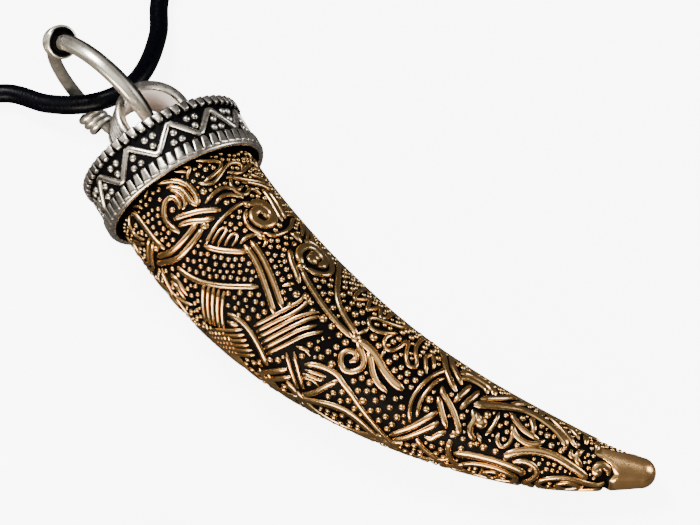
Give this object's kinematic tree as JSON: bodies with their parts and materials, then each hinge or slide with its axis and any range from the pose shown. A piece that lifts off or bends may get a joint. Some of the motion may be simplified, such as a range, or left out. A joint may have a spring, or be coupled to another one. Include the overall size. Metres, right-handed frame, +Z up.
{
  "type": "fang pendant on a leather cord",
  "caption": "Curved fang pendant of cast bronze with raised knotwork, in a silver cap with an eye and a wire-wrapped ring, on a leather neck cord with a barrel clasp.",
  "frame": {"origin": "middle of the bottom of the box round the fang, the cap and the ring, on the surface that the pendant lies on", "axes": "+Z up from the surface, +X towards the tip of the fang, which lies on its side with its hollow side towards +Y and +X"},
  "size_m": [0.1094, 0.0925, 0.0203],
  "materials": {
    "bronze": "darkened in the ground, polished on the raised work",
    "silver": "darkened in the recesses, polished on the high parts",
    "leather": "smooth round cord"
  },
  "bodies": {
    "root": {"fang": "bronze", "cap": "silver", "ring": "silver", "cord": "leather", "clasp": "silver"}
  },
  "joints": []
}
